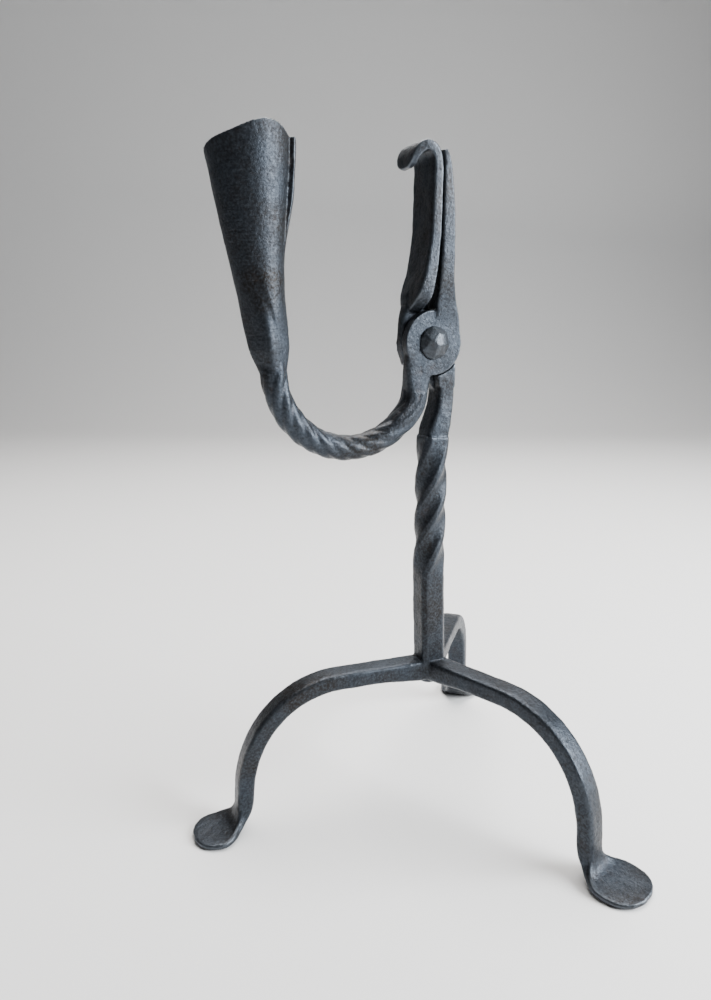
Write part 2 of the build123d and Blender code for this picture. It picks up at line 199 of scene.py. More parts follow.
def makeIron(name, **changes):
    look = {**ironLook, **changes}
    iron = bpy.data.materials.new(name)
    iron.use_nodes = True
    nodes, links = iron.node_tree.nodes, iron.node_tree.links
    shader = nodes["Principled BSDF"]
    shader.inputs["Metallic"].default_value = look["metallic"]
    where = nodes.new("ShaderNodeTexCoord").outputs["Object"]

    def noise(scale, detail, stretch=None):
        spot = where
        if stretch:
            mapping = nodes.new("ShaderNodeMapping")
            mapping.inputs["Scale"].default_value = stretch
            links.new(where, mapping.inputs["Vector"])
            spot = mapping.outputs["Vector"]
        texture = nodes.new("ShaderNodeTexNoise")
        texture.inputs["Scale"].default_value = scale
        texture.inputs["Detail"].default_value = detail
        links.new(spot, texture.inputs["Vector"])
        return texture.outputs["Fac"]

    def ramp(value, low, high, top=1.0, bottom=0.0):
        limits = nodes.new("ShaderNodeMapRange")
        limits.inputs["From Min"].default_value = low
        limits.inputs["From Max"].default_value = high
        limits.inputs["To Min"].default_value = bottom
        limits.inputs["To Max"].default_value = top
        links.new(value, limits.inputs["Value"])
        return limits.outputs["Result"]

    def mixed(share, first, second):
        mix = nodes.new("ShaderNodeMix")
        mix.data_type = "RGBA"
        links.new(share, mix.inputs["Factor"])
        # inputs 6 and 7 and output 2 are a Mix node's colours
        for socket, colour in ((mix.inputs[6], first), (mix.inputs[7], second)):
            if isinstance(colour, tuple):
                socket.default_value = colour
            else:
                links.new(colour, socket)
        return mix.outputs[2]

    def combined(operation, first, second):
        joined = nodes.new("ShaderNodeMath")
        joined.operation = operation
        links.new(first, joined.inputs[0])
        links.new(second, joined.inputs[1])
        return joined.outputs[0]

    def bumped(height, strength, distance, below=None):
        bump = nodes.new("ShaderNodeBump")
        bump.inputs["Strength"].default_value = strength
        bump.inputs["Distance"].default_value = distance
        links.new(height, bump.inputs["Height"])
        if below:
            links.new(below, bump.inputs["Normal"])
        return bump.outputs["Normal"]

    patches = noise(*look["patchNoise"])
    pits = noise(*look["pitNoise"])
    grain = noise(*look["grainNoise"])
    proudnessNode = nodes.new("ShaderNodeAttribute")
    proudnessNode.attribute_name = "wear"
    wear = proudnessNode.outputs["Fac"]
    colour = mixed(ramp(patches, *look["patches"]), look["brownIron"], look["blueIron"])
    # specks of paler forge scale
    colour = mixed(ramp(noise(*look["scaleNoise"]), *look["scale"]), colour, look["scaleIron"])
    # a little rust lies in hollows, and proud corners are paler and smoother: the paler colour is partly
    # rubbed wear and partly a painted highlight
    rusty = combined(
        "MULTIPLY", ramp(noise(*look["rustNoise"]), *look["rust"]), ramp(wear, *look["hollows"]),
    )
    colour = mixed(rusty, colour, look["rustIron"])
    colour = mixed(ramp(pits, *look["pits"]), colour, look["pitIron"])
    # proud edges are mixed towards the paler iron: real rubbed wear plus a painted highlight along the rims
    colour = mixed(ramp(wear, *look["wornAndHighlight"]), colour, look["wornAndHighlightIron"])
    links.new(colour, shader.inputs["Base Color"])
    dull = ramp(pits, *look["roughPits"], look["roughLow"], look["roughHigh"])
    rough = combined("SUBTRACT", dull, ramp(wear, *look["rubbed"]))
    links.new(rough, shader.inputs["Roughness"])
    normal = bumped(grain, look["grainBump"], look["grainDepth"])
    normal = bumped(ramp(pits, *look["pitFloor"]), look["pitBump"], look["pitDepth"], normal)
    if "scratchNoise" in look:
        scratches = noise(*look["scratchNoise"], look["scratchStretch"])
        normal = bumped(scratches, look["scratchBump"], look["scratchDepth"], normal)
    links.new(normal, shader.inputs["Normal"])
    return iron


irons = {
    "stand": makeIron("forgedStandIron"),
    "arm": makeIron("forgedArmIron"),
    "socket": makeIron("rolledSocketIron", **socketFinish),
    "rivet": makeIron("hammeredRivetIron", **rivetFinish),
}
print("iron finishes are made")


def newTree(name, inputs):
    tree = bpy.data.node_groups.new(name, "GeometryNodeTree")
    sockets = tree.interface
    sockets.new_socket("Geometry", in_out="INPUT", socket_type="NodeSocketGeometry")
    for label, kind in inputs.items():
        sockets.new_socket(label, in_out="INPUT", socket_type="NodeSocket" + kind)
    sockets.new_socket("Geometry", in_out="OUTPUT", socket_type="NodeSocketGeometry")
    start = tree.nodes.new("NodeGroupInput")
    end = tree.nodes.new("NodeGroupOutput")

    def node(kind, settings=None, **feeds):
        # a feed is named after its socket, or i and the socket's number
        made = tree.nodes.new(kind)
        for key, value in (settings or {}).items():
            setattr(made, key, value)
        for key, value in feeds.items():
            numbered = key[0] == "i" and key[1:].isdigit()
            socket = made.inputs[int(key[1:]) if numbered else key]
            if isinstance(value, bpy.types.NodeSocket):
                tree.links.new(value, socket)
            else:
                socket.default_value = value
        return made

    def math2(operation, first, second=0.0):
        return node("ShaderNodeMath", {"operation": operation}, i0=first, i1=second).outputs[0]

    return tree, start.outputs, end, node, math2


def finishTree(tree, end, node, geometry, material):
    whole = node("GeometryNodeRealizeInstances", i0=geometry)
    painted = node("GeometryNodeSetMaterial", Geometry=whole.outputs[0], Material=material)
    tree.links.new(painted.outputs[0], end.inputs[0])
    return tree


def addTree(thing, tree, values):
    modifier = thing.modifiers.new(tree.name, "NODES")
    modifier.node_group = tree
    for item in tree.interface.items_tree:
        if item.item_type == "SOCKET" and item.in_out == "INPUT" and item.name in values:
            modifier[item.identifier] = values[item.name]


def buildTwistedBar():
    # a square bar along a curve, twisted between two places on its length
    tree, given, end, node, math2 = newTree("twistedBar", {
        "Width": "Float", "Squareness": "Float", "Chamfer": "Float", "Valley": "Float",
        "Grooves": "Float", "Turn": "Float",
        "Phase": "Float", "Twist Start": "Float", "Twist End": "Float", "Ease": "Float",
        "Sides": "Int", "Step": "Float", "Material": "Material",
    })
    spaced = node(
        "GeometryNodeResampleCurve", {"mode": "LENGTH"}, Curve=given["Geometry"], Length=given["Step"],
    ).outputs[0]
    upright = node("GeometryNodeSetCurveNormal", {"mode": "FREE"}, Curve=spaced, Normal=(0, 1, 0))
    along = node("GeometryNodeSplineParameter").outputs["Length"]
    ramps = []
    for shape in ("LINEAR", "SMOOTHSTEP"):
        ramps.append(node(
            "ShaderNodeMapRange", {"interpolation_type": shape}, Value=along,
            **{"From Min": given["Twist Start"], "From Max": given["Twist End"]},
        ).outputs[0])
    blend = node(
        "ShaderNodeMix", {"data_type": "FLOAT"}, i0=given["Ease"], i2=ramps[0], i3=ramps[1],
    ).outputs[0]
    tilt = math2("ADD", math2("MULTIPLY", blend, given["Turn"]), given["Phase"])
    tilted = node("GeometryNodeSetCurveTilt", Curve=upright.outputs[0], Tilt=tilt)
    # section: a chamfered square, with grooves scored along it
    circle = node("GeometryNodeCurvePrimitiveCircle", Resolution=given["Sides"], Radius=1.0)
    spot = node("GeometryNodeInputPosition").outputs[0]
    parts = node("ShaderNodeSeparateXYZ", i0=spot)
    powers = [
        math2("POWER", math2("ABSOLUTE", parts.outputs[k]), given["Squareness"]) for k in (0, 1)
    ]
    reach = math2("POWER", math2("ADD", *powers), math2("DIVIDE", -1.0, given["Squareness"]))
    angle = math2("ARCTAN2", parts.outputs[1], parts.outputs[0])
    fromFace = math2("PINGPONG", math2("ADD", angle, math.tau), math.pi / 4)
    corner = math2("COSINE", math2("SUBTRACT", math.pi / 4, fromFace))
    reach = math2("MINIMUM", reach, math2("DIVIDE", given["Chamfer"], corner))
    half = math2("MULTIPLY", given["Grooves"], 0.5)
    lobes = math2("ABSOLUTE", math2("SINE", math2("MULTIPLY", angle, half)))
    dip = math2("SUBTRACT", 1.0, math2("MULTIPLY", math2("SUBTRACT", 1.0, lobes), given["Valley"]))
    size = math2("MULTIPLY", math2("MULTIPLY", reach, dip), math2("MULTIPLY", given["Width"], 0.5))
    scaled = node("ShaderNodeVectorMath", {"operation": "SCALE"}, i0=spot, Scale=size)
    section = node("GeometryNodeSetPosition", Geometry=circle.outputs[0], Position=scaled.outputs[0])
    bar = node("GeometryNodeCurveToMesh", Curve=tilted.outputs[0], **{
        "Profile Curve": section.outputs[0], "Fill Caps": True,
    })
    return finishTree(tree, end, node, bar.outputs[0], given["Material"])


def buildForgeSkin():
    # hammer marks and grain, and how proud each point stands of its surroundings
    tree, given, end, node, math2 = newTree("forgeSkin", {
        "Hammer Depth": "Float", "Hammer Size": "Float", "Grain Depth": "Float",
        "Grain Size": "Float", "Wear Reach": "Int", "Wear Height": "Float", "Material": "Material",
    })

    def shown(sockets, name):
        # of sockets that share a name, the one for the chosen data type
        return next(s for s in sockets if s.enabled and s.name == name)

    spot = node("GeometryNodeInputPosition").outputs[0]
    normal = node("GeometryNodeInputNormal").outputs[0]
    total = 0.0
    for size, depth, detail in (("Hammer Size", "Hammer Depth", 1.0), ("Grain Size", "Grain Depth", 2.0)):
        scale = math2("DIVIDE", 1.0, given[size])
        noise = node("ShaderNodeTexNoise", Vector=spot, Scale=scale, Detail=detail).outputs[0]
        height = math2("MULTIPLY", math2("SUBTRACT", noise, 0.5), given[depth])
        total = math2("ADD", height, total)
    push = node("ShaderNodeVectorMath", {"operation": "SCALE"}, i0=normal, Scale=total)
    marked = node("GeometryNodeSetPosition", Geometry=given["Geometry"], Offset=push.outputs[0])
    calm = node("GeometryNodeBlurAttribute", {"data_type": "FLOAT_VECTOR"}, Iterations=given["Wear Reach"])
    tree.links.new(spot, shown(calm.inputs, "Value"))
    blurred = shown(calm.outputs, "Value")
    proud = node("ShaderNodeVectorMath", {"operation": "SUBTRACT"}, i0=spot, i1=blurred)
    level = node("ShaderNodeVectorMath", {"operation": "DOT_PRODUCT"}, i0=proud.outputs[0], i1=normal)
    share = math2("DIVIDE", level.outputs["Value"], given["Wear Height"])
    # this measure puts rust in hollows, and gives proud edges a paler colour that is partly rubbed wear and
    # partly a painted highlight
    kept = node(
        "GeometryNodeStoreNamedAttribute", {"data_type": "FLOAT", "domain": "POINT"},
        Geometry=marked.outputs[0], Name="wear",
    )
    tree.links.new(share, shown(kept.inputs, "Value"))
    return finishTree(tree, end, node, kept.outputs[0], given["Material"])


twistedBar = buildTwistedBar()
forgeSkin = buildForgeSkin()


def link(name, data):
    thing = bpy.data.objects.new(name, data)
    scene.collection.objects.link(thing)
    return thing


def evaluated(thing, name):
    # the plain mesh that the object's modifiers make of it
    bpy.context.view_layer.update()
    graph = bpy.context.evaluated_depsgraph_get()
    mesh = bpy.data.meshes.new_from_object(thing.evaluated_get(graph))
    mesh.name = name
    bpy.data.objects.remove(thing)
    return mesh


def barMesh(name, rows, bar, material):
    # rows: x, y, z, share of the bar's width
    curve = bpy.data.curves.new(name, "CURVE")
    curve.dimensions = "3D"
    spline = curve.splines.new("POLY")
    spline.points.add(len(rows) - 1)
    for point, (x, y, z, share) in zip(spline.points, rows):
        point.co = (*place((x, y, z)), 1)
        point.radius = share
    thing = link(name, curve)
    addTree(thing, twistedBar, {
        "Width": bar["width"] * mm, "Squareness": bar["squareness"], "Chamfer": bar["chamfer"],
        "Valley": bar["valley"], "Grooves": bar["grooves"],
        "Turn": math.radians(bar["turn"]), "Phase": math.radians(bar["phase"]),
        "Twist Start": bar["twistStart"] * mm, "Twist End": bar["twistEnd"] * mm,
        "Ease": bar["ease"], "Sides": bar["sides"], "Step": bar["step"] * mm, "Material": material,
    })
    return evaluated(thing, name)


def closedForm(rings):
    # a closed skin through rings of points
    form = bmesh.new()
    loops = [[form.verts.new(place(point)) for point in ring] for ring in rings]
    for low, high in zip(loops, loops[1:]):
        for k in range(len(low)):
            n = (k + 1) % len(low)
            form.faces.new((low[k], low[n], high[n], high[k]))
    form.faces.new(loops[0][::-1])
    form.faces.new(loops[-1])
    bmesh.ops.recalc_face_normals(form, faces=form.faces)
    return form


def meshOf(name, form):
    mesh = bpy.data.meshes.new(name)
    form.to_mesh(mesh)
    form.free()
    return mesh


def strapMesh(name, rows, across, square, sides=36):
    # rows: x, y, z, half width, half thickness; the width lies along across
    rings = []
    for i, row in enumerate(rows):
        middle = Vector(row[:3])
        heading = Vector(rows[min(i + 1, len(rows) - 1)][:3]) - Vector(rows[max(i - 1, 0)][:3])
        through = heading.cross(across).normalized()
        ring = []
        for k in range(sides):
            angle = math.tau * k / sides
            c, s = math.cos(angle), math.sin(angle)
            wide = math.copysign(abs(c) ** (2 / square), c) * row[3]
            thick = math.copysign(abs(s) ** (2 / square), s) * row[4]
            ring.append(middle + across * wide + through * thick)
        rings.append(ring)
    return meshOf(name, closedForm(rings))


def plateMesh(name, outline, front, back):
    # outline: x, z; the plate lies between two Y values
    return meshOf(name, closedForm([[(x, y, z) for x, z in outline] for y in (front, back)]))


def roundOutline(radius, start=0, stop=360, steps=72):
    # a circle or an arc round the pivot
    points = []
    for k in range(steps + (stop - start != 360)):
        angle = math.radians(start + (stop - start) * k / steps)
        points.append((pivot.x + radius * math.cos(angle), pivot.z + radius * math.sin(angle)))
    return points


def turnedRings(profile, sides, spot):
    # profile: place along the axis, radius
    return [
        [
            spot(radius * math.cos(math.tau * k / sides), radius * math.sin(math.tau * k / sides), along)
            for k in range(sides)
        ]
        for along, radius in profile
    ]


forging = {
    "voxel": 0.4, "soften": 3, "softenShare": 0.5, "hammerDepth": 0.42, "hammerSize": 6.5,
    # the reach and height set how far proud edges are painted paler: partly rubbed wear, partly a painted
    # highlight
    "grainDepth": 0.16, "grainSize": 1.5, "proudReach": 8, "proudHeight": 0.10,
}
cutTolerance = 1e-8


def weld(name, meshes, forge, material):
    # makes overlapping blanks one piece of iron, with its skin
    form = bmesh.new()
    for mesh in meshes:
        form.from_mesh(mesh)
    thing = link(name, meshOf(name, form))
    remesh = thing.modifiers.new("weld", "REMESH")
    remesh.mode, remesh.voxel_size = "VOXEL", forge["voxel"] * mm
    remesh.use_smooth_shade = True
    soften = thing.modifiers.new("soften", "SMOOTH")
    soften.factor, soften.iterations = forge["softenShare"], forge["soften"]
    addTree(thing, forgeSkin, {
        "Hammer Depth": forge["hammerDepth"] * mm, "Hammer Size": forge["hammerSize"] * mm,
        "Grain Depth": forge["grainDepth"] * mm, "Grain Size": forge["grainSize"] * mm,
        "Wear Reach": forge["proudReach"], "Wear Height": forge["proudHeight"] * mm,
        "Material": material,
    })
    return evaluated(thing, name)


def capRim(form, outwards):
    rim = [e for e in form.edges if len(e.link_faces) == 1]
    if not rim:
        return []
    return bmesh.ops.triangle_fill(form, edges=rim, use_beauty=True, normal=outwards)["geom"]


def anywhere(centre):
    return True


def keepPiece(name, source, planes, body, node, material, extra=None):
    # cuts the welded iron on planes, caps it and stands it in for its CAD node
    form = bmesh.new()
    form.from_mesh(source)
    for spot, outwards, near in planes:
        faces = [f for f in form.faces if near(f.calc_center_median())]
        pool = set(faces)
        for face in faces:
            pool.update(face.edges)
            pool.update(face.verts)
        bmesh.ops.bisect_plane(
            form, geom=list(pool), plane_co=spot, plane_no=outwards, dist=cutTolerance,
        )
        gone = [
            f for f in form.faces
            if near(f.calc_center_median()) and (f.calc_center_median() - spot).dot(outwards) > 0
        ]
        bmesh.ops.delete(form, geom=gone, context="FACES")
        for face in capRim(form, outwards):
            if isinstance(face, bmesh.types.BMFace):
                face.smooth = False
    for vert in form.verts:
        vert.co.z = max(vert.co.z, 0)
    if extra:
        form.from_mesh(extra)
    bmesh.ops.recalc_face_normals(form, faces=form.faces)
    mesh = meshOf(name, form)
    mesh.materials.clear()
    mesh.materials.append(material)
    piece = link(name, mesh)
    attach(piece, body)
    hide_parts(node)


stemBar = {
    "width": 9.8, "squareness": 9.0, "chamfer": 1.19, "valley": 0.0, "grooves": 4.0,
    "turn": 270, "phase": 0, "twistStart": 40.0, "twistEnd": 89.0, "ease": 0.35,
    "sides": 64, "step": 0.5,
    # x, y, z, share of the width
    "path": [
        (0, 0, 49.5, 1.0), (0, 0, 57, 1.0), (-0.4, 0, 68, 1.0), (-1.0, 0, 82, 0.99),
        (-1.2, 0, 92, 0.97), (-1.2, 0, 104, 0.95), (-1.2, 0, 120, 0.94), (-1.2, 0, 132, 0.94),
        (-1.1, 0, 136.6, 0.94), (-0.95, 0, 138.7, 0.84), (-0.8, 0, 141.0, 0.72),
    ],
}
stemNeck = {
    # x, y, z, half width, half thickness
    "rows": [
        (-0.95, 0, 138.4, 3.5, 3.4), (-0.85, 0.1, 140.0, 4.15, 4.05), (-0.4, 0.2, 142.8, 4.65, 4.3),
        (0.9, 0.4, 147.2, 4.75, 3.85), (1.9, 0.6, 151, 4.6, 3.45), (2.4, 0.7, 155, 4.45, 3.25),
        (2.5, 0.6, 159, 4.35, 3.2), (2.5, 0.5, 162.4, 4.25, 3.2),
    ],
    "square": 6.0,
    # outlines of the plates on it: x, z
    "backPlate": [(-0.9, 158), (5.8, 158), (6.0, 166), (7.0, 172), (-6.0, 174), (-4.2, 163.5)],
    "backTo": 4.2,
    # the front one ends in a hollow round the arm's cheek: radius, start, stop, steps
    "frontPlate": [(-0.7, 159), (5.7, 159)], "hollow": (11.3, -30, -80, 20), "frontEdge": 5.7,
    "frontFrom": -3.7, "frontTo": 1.0,
}
fixedJaw = {
    "blade": [
        (-9.7, 2.4, 184.6, 3.3, 2.2), (-9.4, 1.1, 187.0, 5.4, 2.6), (-9.05, 0.2, 189.4, 6.7, 2.75),
        (-8.25, 0, 192.5, 7.0, 2.7), (-7.1, 0, 197, 7.0, 2.4), (-6.2, 0, 203, 7.0, 2.15),
        (-5.55, 0, 209, 7.0, 2.0), (-5.3, 0, 216, 7.0, 1.92), (-5.25, 0, 226, 7.0, 1.87),
        (-5.25, 0, 230.6, 7.0, 1.82), (-5.6, 0, 233.2, 7.0, 1.75), (-6.9, 0, 235.4, 7.0, 1.72),
        (-8.9, 0, 236.25, 6.9, 1.7), (-10.9, 0, 235.7, 6.6, 1.65), (-12.4, 0, 234.1, 6.2, 1.5),
        (-13.2, 0, 232.2, 5.4, 1.35), (-13.5, 0, 230.6, 4.2, 1.2), (-13.55, 0, 229.4, 2.2, 0.9),
    ],
    "bladeSquare": 11.0,
    # the jaw's root, behind the arm's cheek
    "root": [
        (-6.5, 2.0, 168, 1.75, 6.5), (-8.2, 2.0, 174, 1.75, 6.4), (-8.6, 2.1, 180, 1.85, 5.7),
        (-8.25, 2.5, 184, 2.2, 4.9), (-8.0, 2.8, 186.6, 2.5, 4.3), (-9.1, 3.2, 188.8, 2.9, 3.2),
        (-8.3, 3.3, 192.5, 3.2, 2.6), (-7.3, 3.3, 197, 3.2, 2.2),
    ],
    "rootSquare": 6.0,
    "cheekFront": 0.25, "cheekBack": 3.7, "cheekRadius": 11.1,
}
upsetTenon = {
    "bottom": 45.2, "rise": 2.4, "radius": 4.5, "shank": 2.5, "shankTop": 55.0,
    "steps": 8, "sides": 48, "voxel": 0.25,
}
legStyle = {
    "leftLeg": {
        "node": "left_leg", "azimuth": 174, "spread": 73.4, "bulge": 2.12,
        "padShift": 2.6, "padHalf": 9.8, "padEnd": 19.2,
    },
    "rightLeg": {
        "node": "right_leg", "azimuth": -71, "spread": 70.8, "bulge": 2.16,
        "padShift": 1.2, "padHalf": 11.0, "padEnd": 20.8,
    },
    "backLeg": {
        "node": "back_leg", "azimuth": 47, "spread": 72.8, "bulge": 2.4,
        "padShift": 0.0, "padHalf": 9.2, "padEnd": 18.0,
    },
}
strap = {
    "halfWidth": 4.5, "halfThick": 3.3, "square": 5.5, "least": 0.3,
    "hubTop": 55.5, "cutAbove": 0.5,
    # distance from the stem, how much deeper the strap is there
    "hub": [(-3, 0.8), (4, 0.8), (11, 0.5)], "sagAt": 0.6, "sag": 0.05,
    "archRun": 40.5, "ankle": 11.0, "archSteps": 13, "archSweep": 88, "taper": 0.06,
    # run, height, share of the pad's shift, share of the width, half thickness
    "ankleRows": [(0.5, 8.4, 0.06, 1, 2.8), (1.5, 5.9, 0.15, 1.12, 2.25)],
    "heelRows": [(3.3, 3.6, 0.35, 0.66, 1.7), (6.0, 2.1, 0.7, 0.9, 1.35), (9.2, 1.45, 1, 1, 1.2)],
    # the same, with the run as a share of the pad's end
    "toeRows": [
        (0.64, 1.3, 1, 0.98, 1.1), (0.8, 1.25, 1, 0.86, 1.05), (0.93, 1.2, 1, 0.6, 0.95),
        (1, 1.15, 1, 0.25, 0.75),
    ],
}


def legMesh(name, style):
    azimuth = math.radians(style["azimuth"])
    outwards = Vector((math.cos(azimuth), math.sin(azimuth), 0))
    across = Vector((-outwards.y, outwards.x, 0))
    wide, thick, spread = strap["halfWidth"], strap["halfThick"], style["spread"]
    level = spread + thick - strap["archRun"]
    top = strap["hubTop"] - thick
    rows = [(run, top - deep, 0, wide, thick + deep) for run, deep in strap["hub"]]
    rows.append((level * strap["sagAt"], top - strap["sag"], 0, wide, thick))
    steps = strap["archSteps"]
    for k in range(steps + 1):
        angle = math.radians(90 - strap["archSweep"] * k / steps)
        run = math.cos(angle) ** (2 / style["bulge"]) * (strap["archRun"] - thick)
        rise = math.sin(angle) ** (2 / style["bulge"]) * (top - strap["ankle"])
        slim = 1 - strap["taper"] * k / steps
        rows.append((level + run, strap["ankle"] + rise, 0, wide * slim, thick * slim))
    half, shift = style["padHalf"], style["padShift"]
    for table, width, end in (
        ("ankleRows", wide, 1), ("heelRows", half, 1), ("toeRows", half, style["padEnd"]),
    ):
        for run, height, share, broad, halfThick in strap[table]:
            rows.append((spread + end * run, height, shift * share, width * broad, halfThick))
    dense = []
    for run, height, side, halfWide, halfThick in throughRows(rows, steps=5):
        spot = outwards * run + across * side + Vector((0, 0, height))
        dense.append((*spot, max(halfWide, strap["least"]), max(halfThick, strap["least"])))
    return strapMesh(name, dense, across, strap["square"])


def fixedJawMeshes():
    jaw, neck = fixedJaw, stemNeck
    hollow = [p for p in roundOutline(*neck["hollow"]) if p[0] < neck["frontEdge"]]
    return [
        strapMesh("jawBlade", throughRows(jaw["blade"]), sideways, jaw["bladeSquare"]),
        strapMesh("jawRoot", throughRows(jaw["root"]), sideways, jaw["rootSquare"]),
        strapMesh("stemNeck", throughRows(neck["rows"]), sideways, neck["square"]),
        plateMesh("stemCheek", roundOutline(jaw["cheekRadius"]), jaw["cheekFront"], jaw["cheekBack"]),
        plateMesh("neckBack", neck["backPlate"], jaw["cheekFront"], neck["backTo"]),
        plateMesh("neckFront", neck["frontPlate"] + hollow, neck["frontFrom"], neck["frontTo"]),
    ]


def tenonMesh():
    # the stem's foot is riveted over under the hub
    t = upsetTenon
    profile = []
    for k in range(1, t["steps"] + 1):
        angle = math.radians(90 * k / t["steps"])
        profile.append((t["bottom"] + t["rise"] * (1 - math.cos(angle)), t["radius"] * math.sin(angle)))
    profile += [(t["bottom"] + t["rise"], t["shank"]), (t["shankTop"], t["shank"])]
    rings = turnedRings(profile, t["sides"], lambda x, y, z: (x, y, z))
    blank = meshOf("tenonBlank", closedForm(rings))
    return weld("upsetTenon", [blank], {**forging, "voxel": t["voxel"]}, irons["stand"])


def makeStand():
    iron = irons["stand"]
    raw = [barMesh("stemBar", throughRows(stemBar["path"], steps=8), stemBar, iron)]
    raw += fixedJawMeshes()
    raw += [legMesh(name, style) for name, style in legStyle.items()]
    whole = weld("standIron", raw, forging, iron)
    seat = place((0, 0, strap["hubTop"] + strap["cutAbove"]))
    up = Vector((0, 0, 1))
    foot = place((0, 0, 0))
    keepPiece(
        "forgedStem", whole, [(seat, -up, anywhere)], "stand", "stem", iron, tenonMesh(),
    )
    # the legs meet in mitres, halfway between one and the next
    order = sorted(style["azimuth"] for style in legStyle.values())
    for name, style in legStyle.items():
        azimuth = style["azimuth"]
        rank = order.index(azimuth)
        low = math.radians(azimuth - ((azimuth - order[rank - 1]) % 360) / 2)
        high = math.radians(azimuth + ((order[(rank + 1) % 3] - azimuth) % 360) / 2)
        planes = [
            (seat, up, anywhere),
            (foot, Vector((math.sin(low), -math.cos(low), 0)), anywhere),
            (foot, Vector((-math.sin(high), math.cos(high), 0)), anywhere),
        ]
        keepPiece(name, whole, planes, "stand", style["node"], iron)


makeStand()
print("stem and legs are forged")


armBar = {
    "width": 8.7, "squareness": 2.2, "chamfer": 2.0, "valley": 0.10, "grooves": 6.0,
    "turn": 620, "phase": 0, "twistStart": 2.5, "twistEnd": 81.5, "ease": 0.6,
    "sides": 64, "step": 0.5,
}
swanNeck = {
    # start: x, z; bends: radius, degrees
    "top": (-8.9, 157.0), "bends": [(9.6, 34), (29.0, 27), (27.3, 115.2)], "bendStep": 5,
    # share of the bar's width, and what is added over which degrees
    "thin": 0.84, "thicken": [(0.18, 5, 42), (0.07, 120, 176)],
    # heights in the cone's foot where the bar goes on
    "inCone": range(2, 12, 2), "inConeShare": 1.12,
}
armNeck = {
    "rows": [
        (-6.5, -1.95, 172, 1.72, 7.2), (-7.8, -1.9, 168, 1.8, 6.3), (-8.6, -1.5, 164.6, 2.2, 5.3),
        (-8.9, -0.8, 161, 2.95, 4.4), (-8.95, -0.2, 157.6, 3.6, 4.0), (-9.35, 0, 154.2, 3.85, 3.95),
        (-10.6, 0, 151.4, 3.9, 3.95), (-12.6, 0, 148.8, 3.9, 3.95), (-15.0, 0, 146.6, 3.75, 3.8),
        (-17.6, 0, 144.5, 3.3, 3.3),
    ],
    "square": 5.0,
}
movingJaw = {
    "blade": [
        (-0.5, -1.97, 170, 1.72, 7.0), (1.2, -1.95, 176, 1.75, 6.1), (1.6, -1.97, 181, 1.8, 5.2),
        (1.4, -2.0, 184.2, 2.15, 4.4), (1.0, -0.75, 186.5, 3.75, 4.1), (0.55, 0.15, 188.9, 5.15, 3.72),
        (0.2, 0.55, 191.8, 6.2, 3.37), (-0.2, 0.4, 195, 6.6, 2.98), (-0.4, 0.2, 199, 6.8, 2.8),
        (-0.45, 0.05, 203, 6.95, 2.7), (-0.6, 0, 211, 7.0, 2.55), (-0.82, 0, 219, 7.0, 2.33),
        (-1.32, 0, 227, 7.0, 1.83), (-1.65, 0, 231, 6.9, 1.5), (-1.95, 0, 234, 6.5, 1.2),
        (-2.2, 0, 235.8, 5.8, 0.85),
    ],
    "bladeSquare": 11.0,
    "cheekFront": -3.7, "cheekBack": -0.25, "cheekRadius": 11.05,
}
candleSocket = {
    "base": (-60.999, 0, 164.552), "axis": (-0.0659, 0.1045, 0.9923), "height": 70.0,
    "wall": 1.35, "floor": 14.0,
    # height, radius
    "flare": [
        (-8, 3.6), (0, 4.9), (8, 5.8), (16, 6.6), (25, 7.5), (34, 8.5), (44, 9.9), (55, 11.5),
        (66, 12.9), (74, 13.9),
    ],
    "bow": 1.0, "bowHeight": 62, "seamAt": -33, "lap": 48, "proud": 1.2, "gap": 0.7,
    "mouthLean": 8.0, "mouthTilt": 17.0, "peakAt": -84, "rimBetween": (50.0, 85.0), "rimTries": 30,
    # each side of the peak: drop, where it starts and ends, where it fades out and is gone
    "leftDrop": (1.4, 0, 45, 40, 110), "rightDrop": (2.9, 10, 62, 66, 115),
    # the foot is squared: share, and over which heights that ends
    "arrisAt": -106, "arrisSharp": 5.0, "arrisShare": 0.9, "arrisEnds": (9, 27), "arrisSwell": 1.09,
}
# the sheet's corner, folded over the cone's foot
cornerFold = {
    "lift": 0.45, "azimuth": -112, "drift": 26, "top": 29, "run": 12,
    "edge": (-4, 6), "tail": (15, 70), "rises": (11, 17), "falls": (26, 34),
}
rolledSheet = {
    "steps": 170, "levels": 60, "belowFloor": 6,
    # heights over which the lap comes loose, degrees over which it closes again
    "loosens": (34, 54), "closes": (0, 105),
    # it starts inside the solid foot
    "sunk": 0.6, "surfaces": (8, 13), "footWall": 1.25, "thins": 0.25, "least": 0.8,
}
solidFoot = {
    "start": -4, "step": 0.5, "rings": 38, "degrees": 3,
    "slim": 1.1, "slims": (11.5, 14.5), "root": 0.72, "growth": 0.28, "grows": (-4, 9),
}
armForging = {**forging, "voxel": 0.36, "hammerDepth": 0.3, "grainDepth": 0.14}
socketCut = {"normal": (-0.0663, 0, 0.9978), "candleSide": -35}


def flareRadius(height):
    flare = candleSocket["flare"]
    for (low, first), (high, second) in zip(flare, flare[1:]):
        if height <= high:
            break
    return first + (second - first) * (height - low) / (high - low)


def socketFrame():
    axis = Vector(candleSocket["axis"]).normalized()
    side = sideways.cross(axis).normalized()
    return Vector(candleSocket["base"]), axis, side, axis.cross(side)


def socketPoint(height, azimuth, radius):
    base, axis, side, deep = socketFrame()
    angle = math.radians(azimuth)
    share = min(1, max(0, height / candleSocket["bowHeight"]))
    bow = candleSocket["bow"] * math.sin(math.pi * share)
    middle = base + axis * height - seenFrom(bow, 0, 0)
    return middle + (side * math.cos(angle) + deep * math.sin(angle)) * radius


